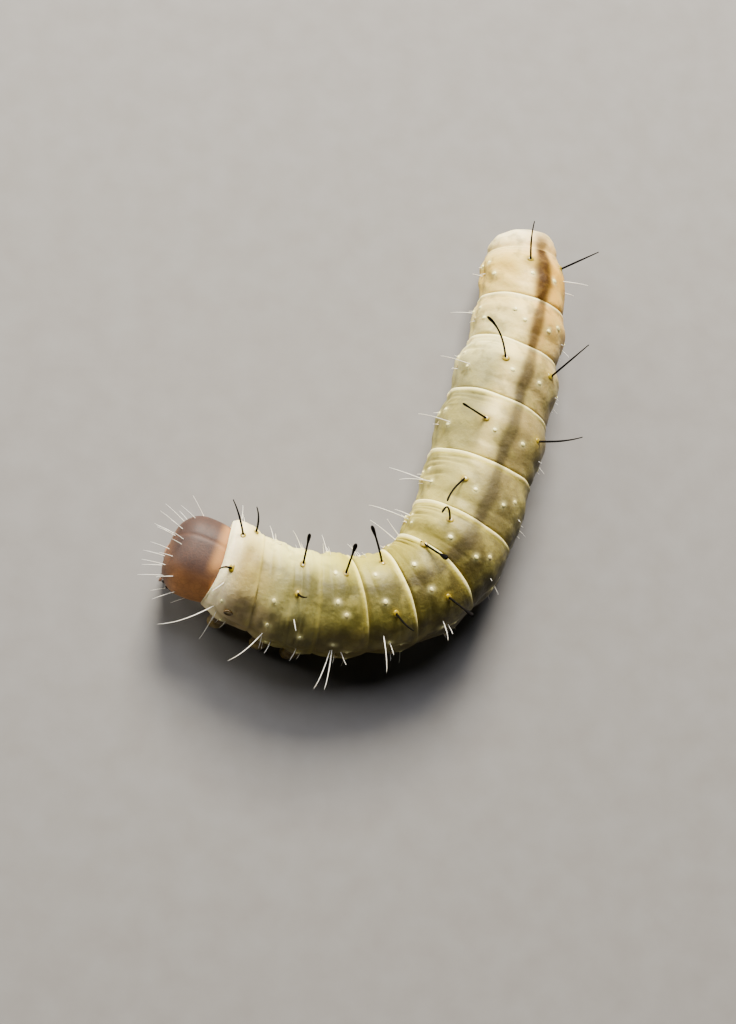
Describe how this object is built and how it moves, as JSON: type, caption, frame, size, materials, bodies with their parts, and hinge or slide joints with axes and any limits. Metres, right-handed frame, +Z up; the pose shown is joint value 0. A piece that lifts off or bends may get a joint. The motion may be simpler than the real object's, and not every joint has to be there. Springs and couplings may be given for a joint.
{
  "type": "moth larva model",
  "caption": "Still life-size model of a mature dagger moth larva resting in a hooked curve, with ringed body, legs, prolegs and bristles.",
  "frame": {"origin": "on the floor under the middle of the model's bounding box", "axes": "+Z up, +Y towards the tail, -X towards the head"},
  "size_m": [0.0236, 0.0258, 0.0072],
  "materials": {
    "skin": "moist, waxy, slightly translucent skin, pale cream green",
    "head_capsule": "satin hard cuticle, mauve pink to orange brown",
    "mouth_parts": "dark satin cuticle, near black",
    "leg_cuticle": "satin amber brown cuticle"
  },
  "bodies": {
    "root": {"head": "head_capsule", "mandible_l": "mouth_parts", "mandible_r": "mouth_parts", "labium": "mouth_parts", "antenna_l": "mouth_parts", "antenna_r": "mouth_parts", "thorax_1": "skin", "thorax_2": "skin", "thorax_3": "skin", "abdomen_1": "skin", "abdomen_2": "skin", "abdomen_3": "skin", "abdomen_4": "skin", "abdomen_5": "skin", "abdomen_6": "skin", "abdomen_7": "skin", "abdomen_8": "skin", "abdomen_9": "skin", "abdomen_10": "skin", "leg_1_l": "leg_cuticle", "leg_1_r": "leg_cuticle", "leg_2_l": "leg_cuticle", "leg_2_r": "leg_cuticle", "leg_3_l": "leg_cuticle", "leg_3_r": "leg_cuticle", "proleg_3_l": "skin", "proleg_3_r": "skin", "proleg_4_l": "skin", "proleg_4_r": "skin", "proleg_5_l": "skin", "proleg_5_r": "skin", "proleg_6_l": "skin", "proleg_6_r": "skin", "anal_proleg_l": "skin", "anal_proleg_r": "skin"}
  },
  "joints": []
}
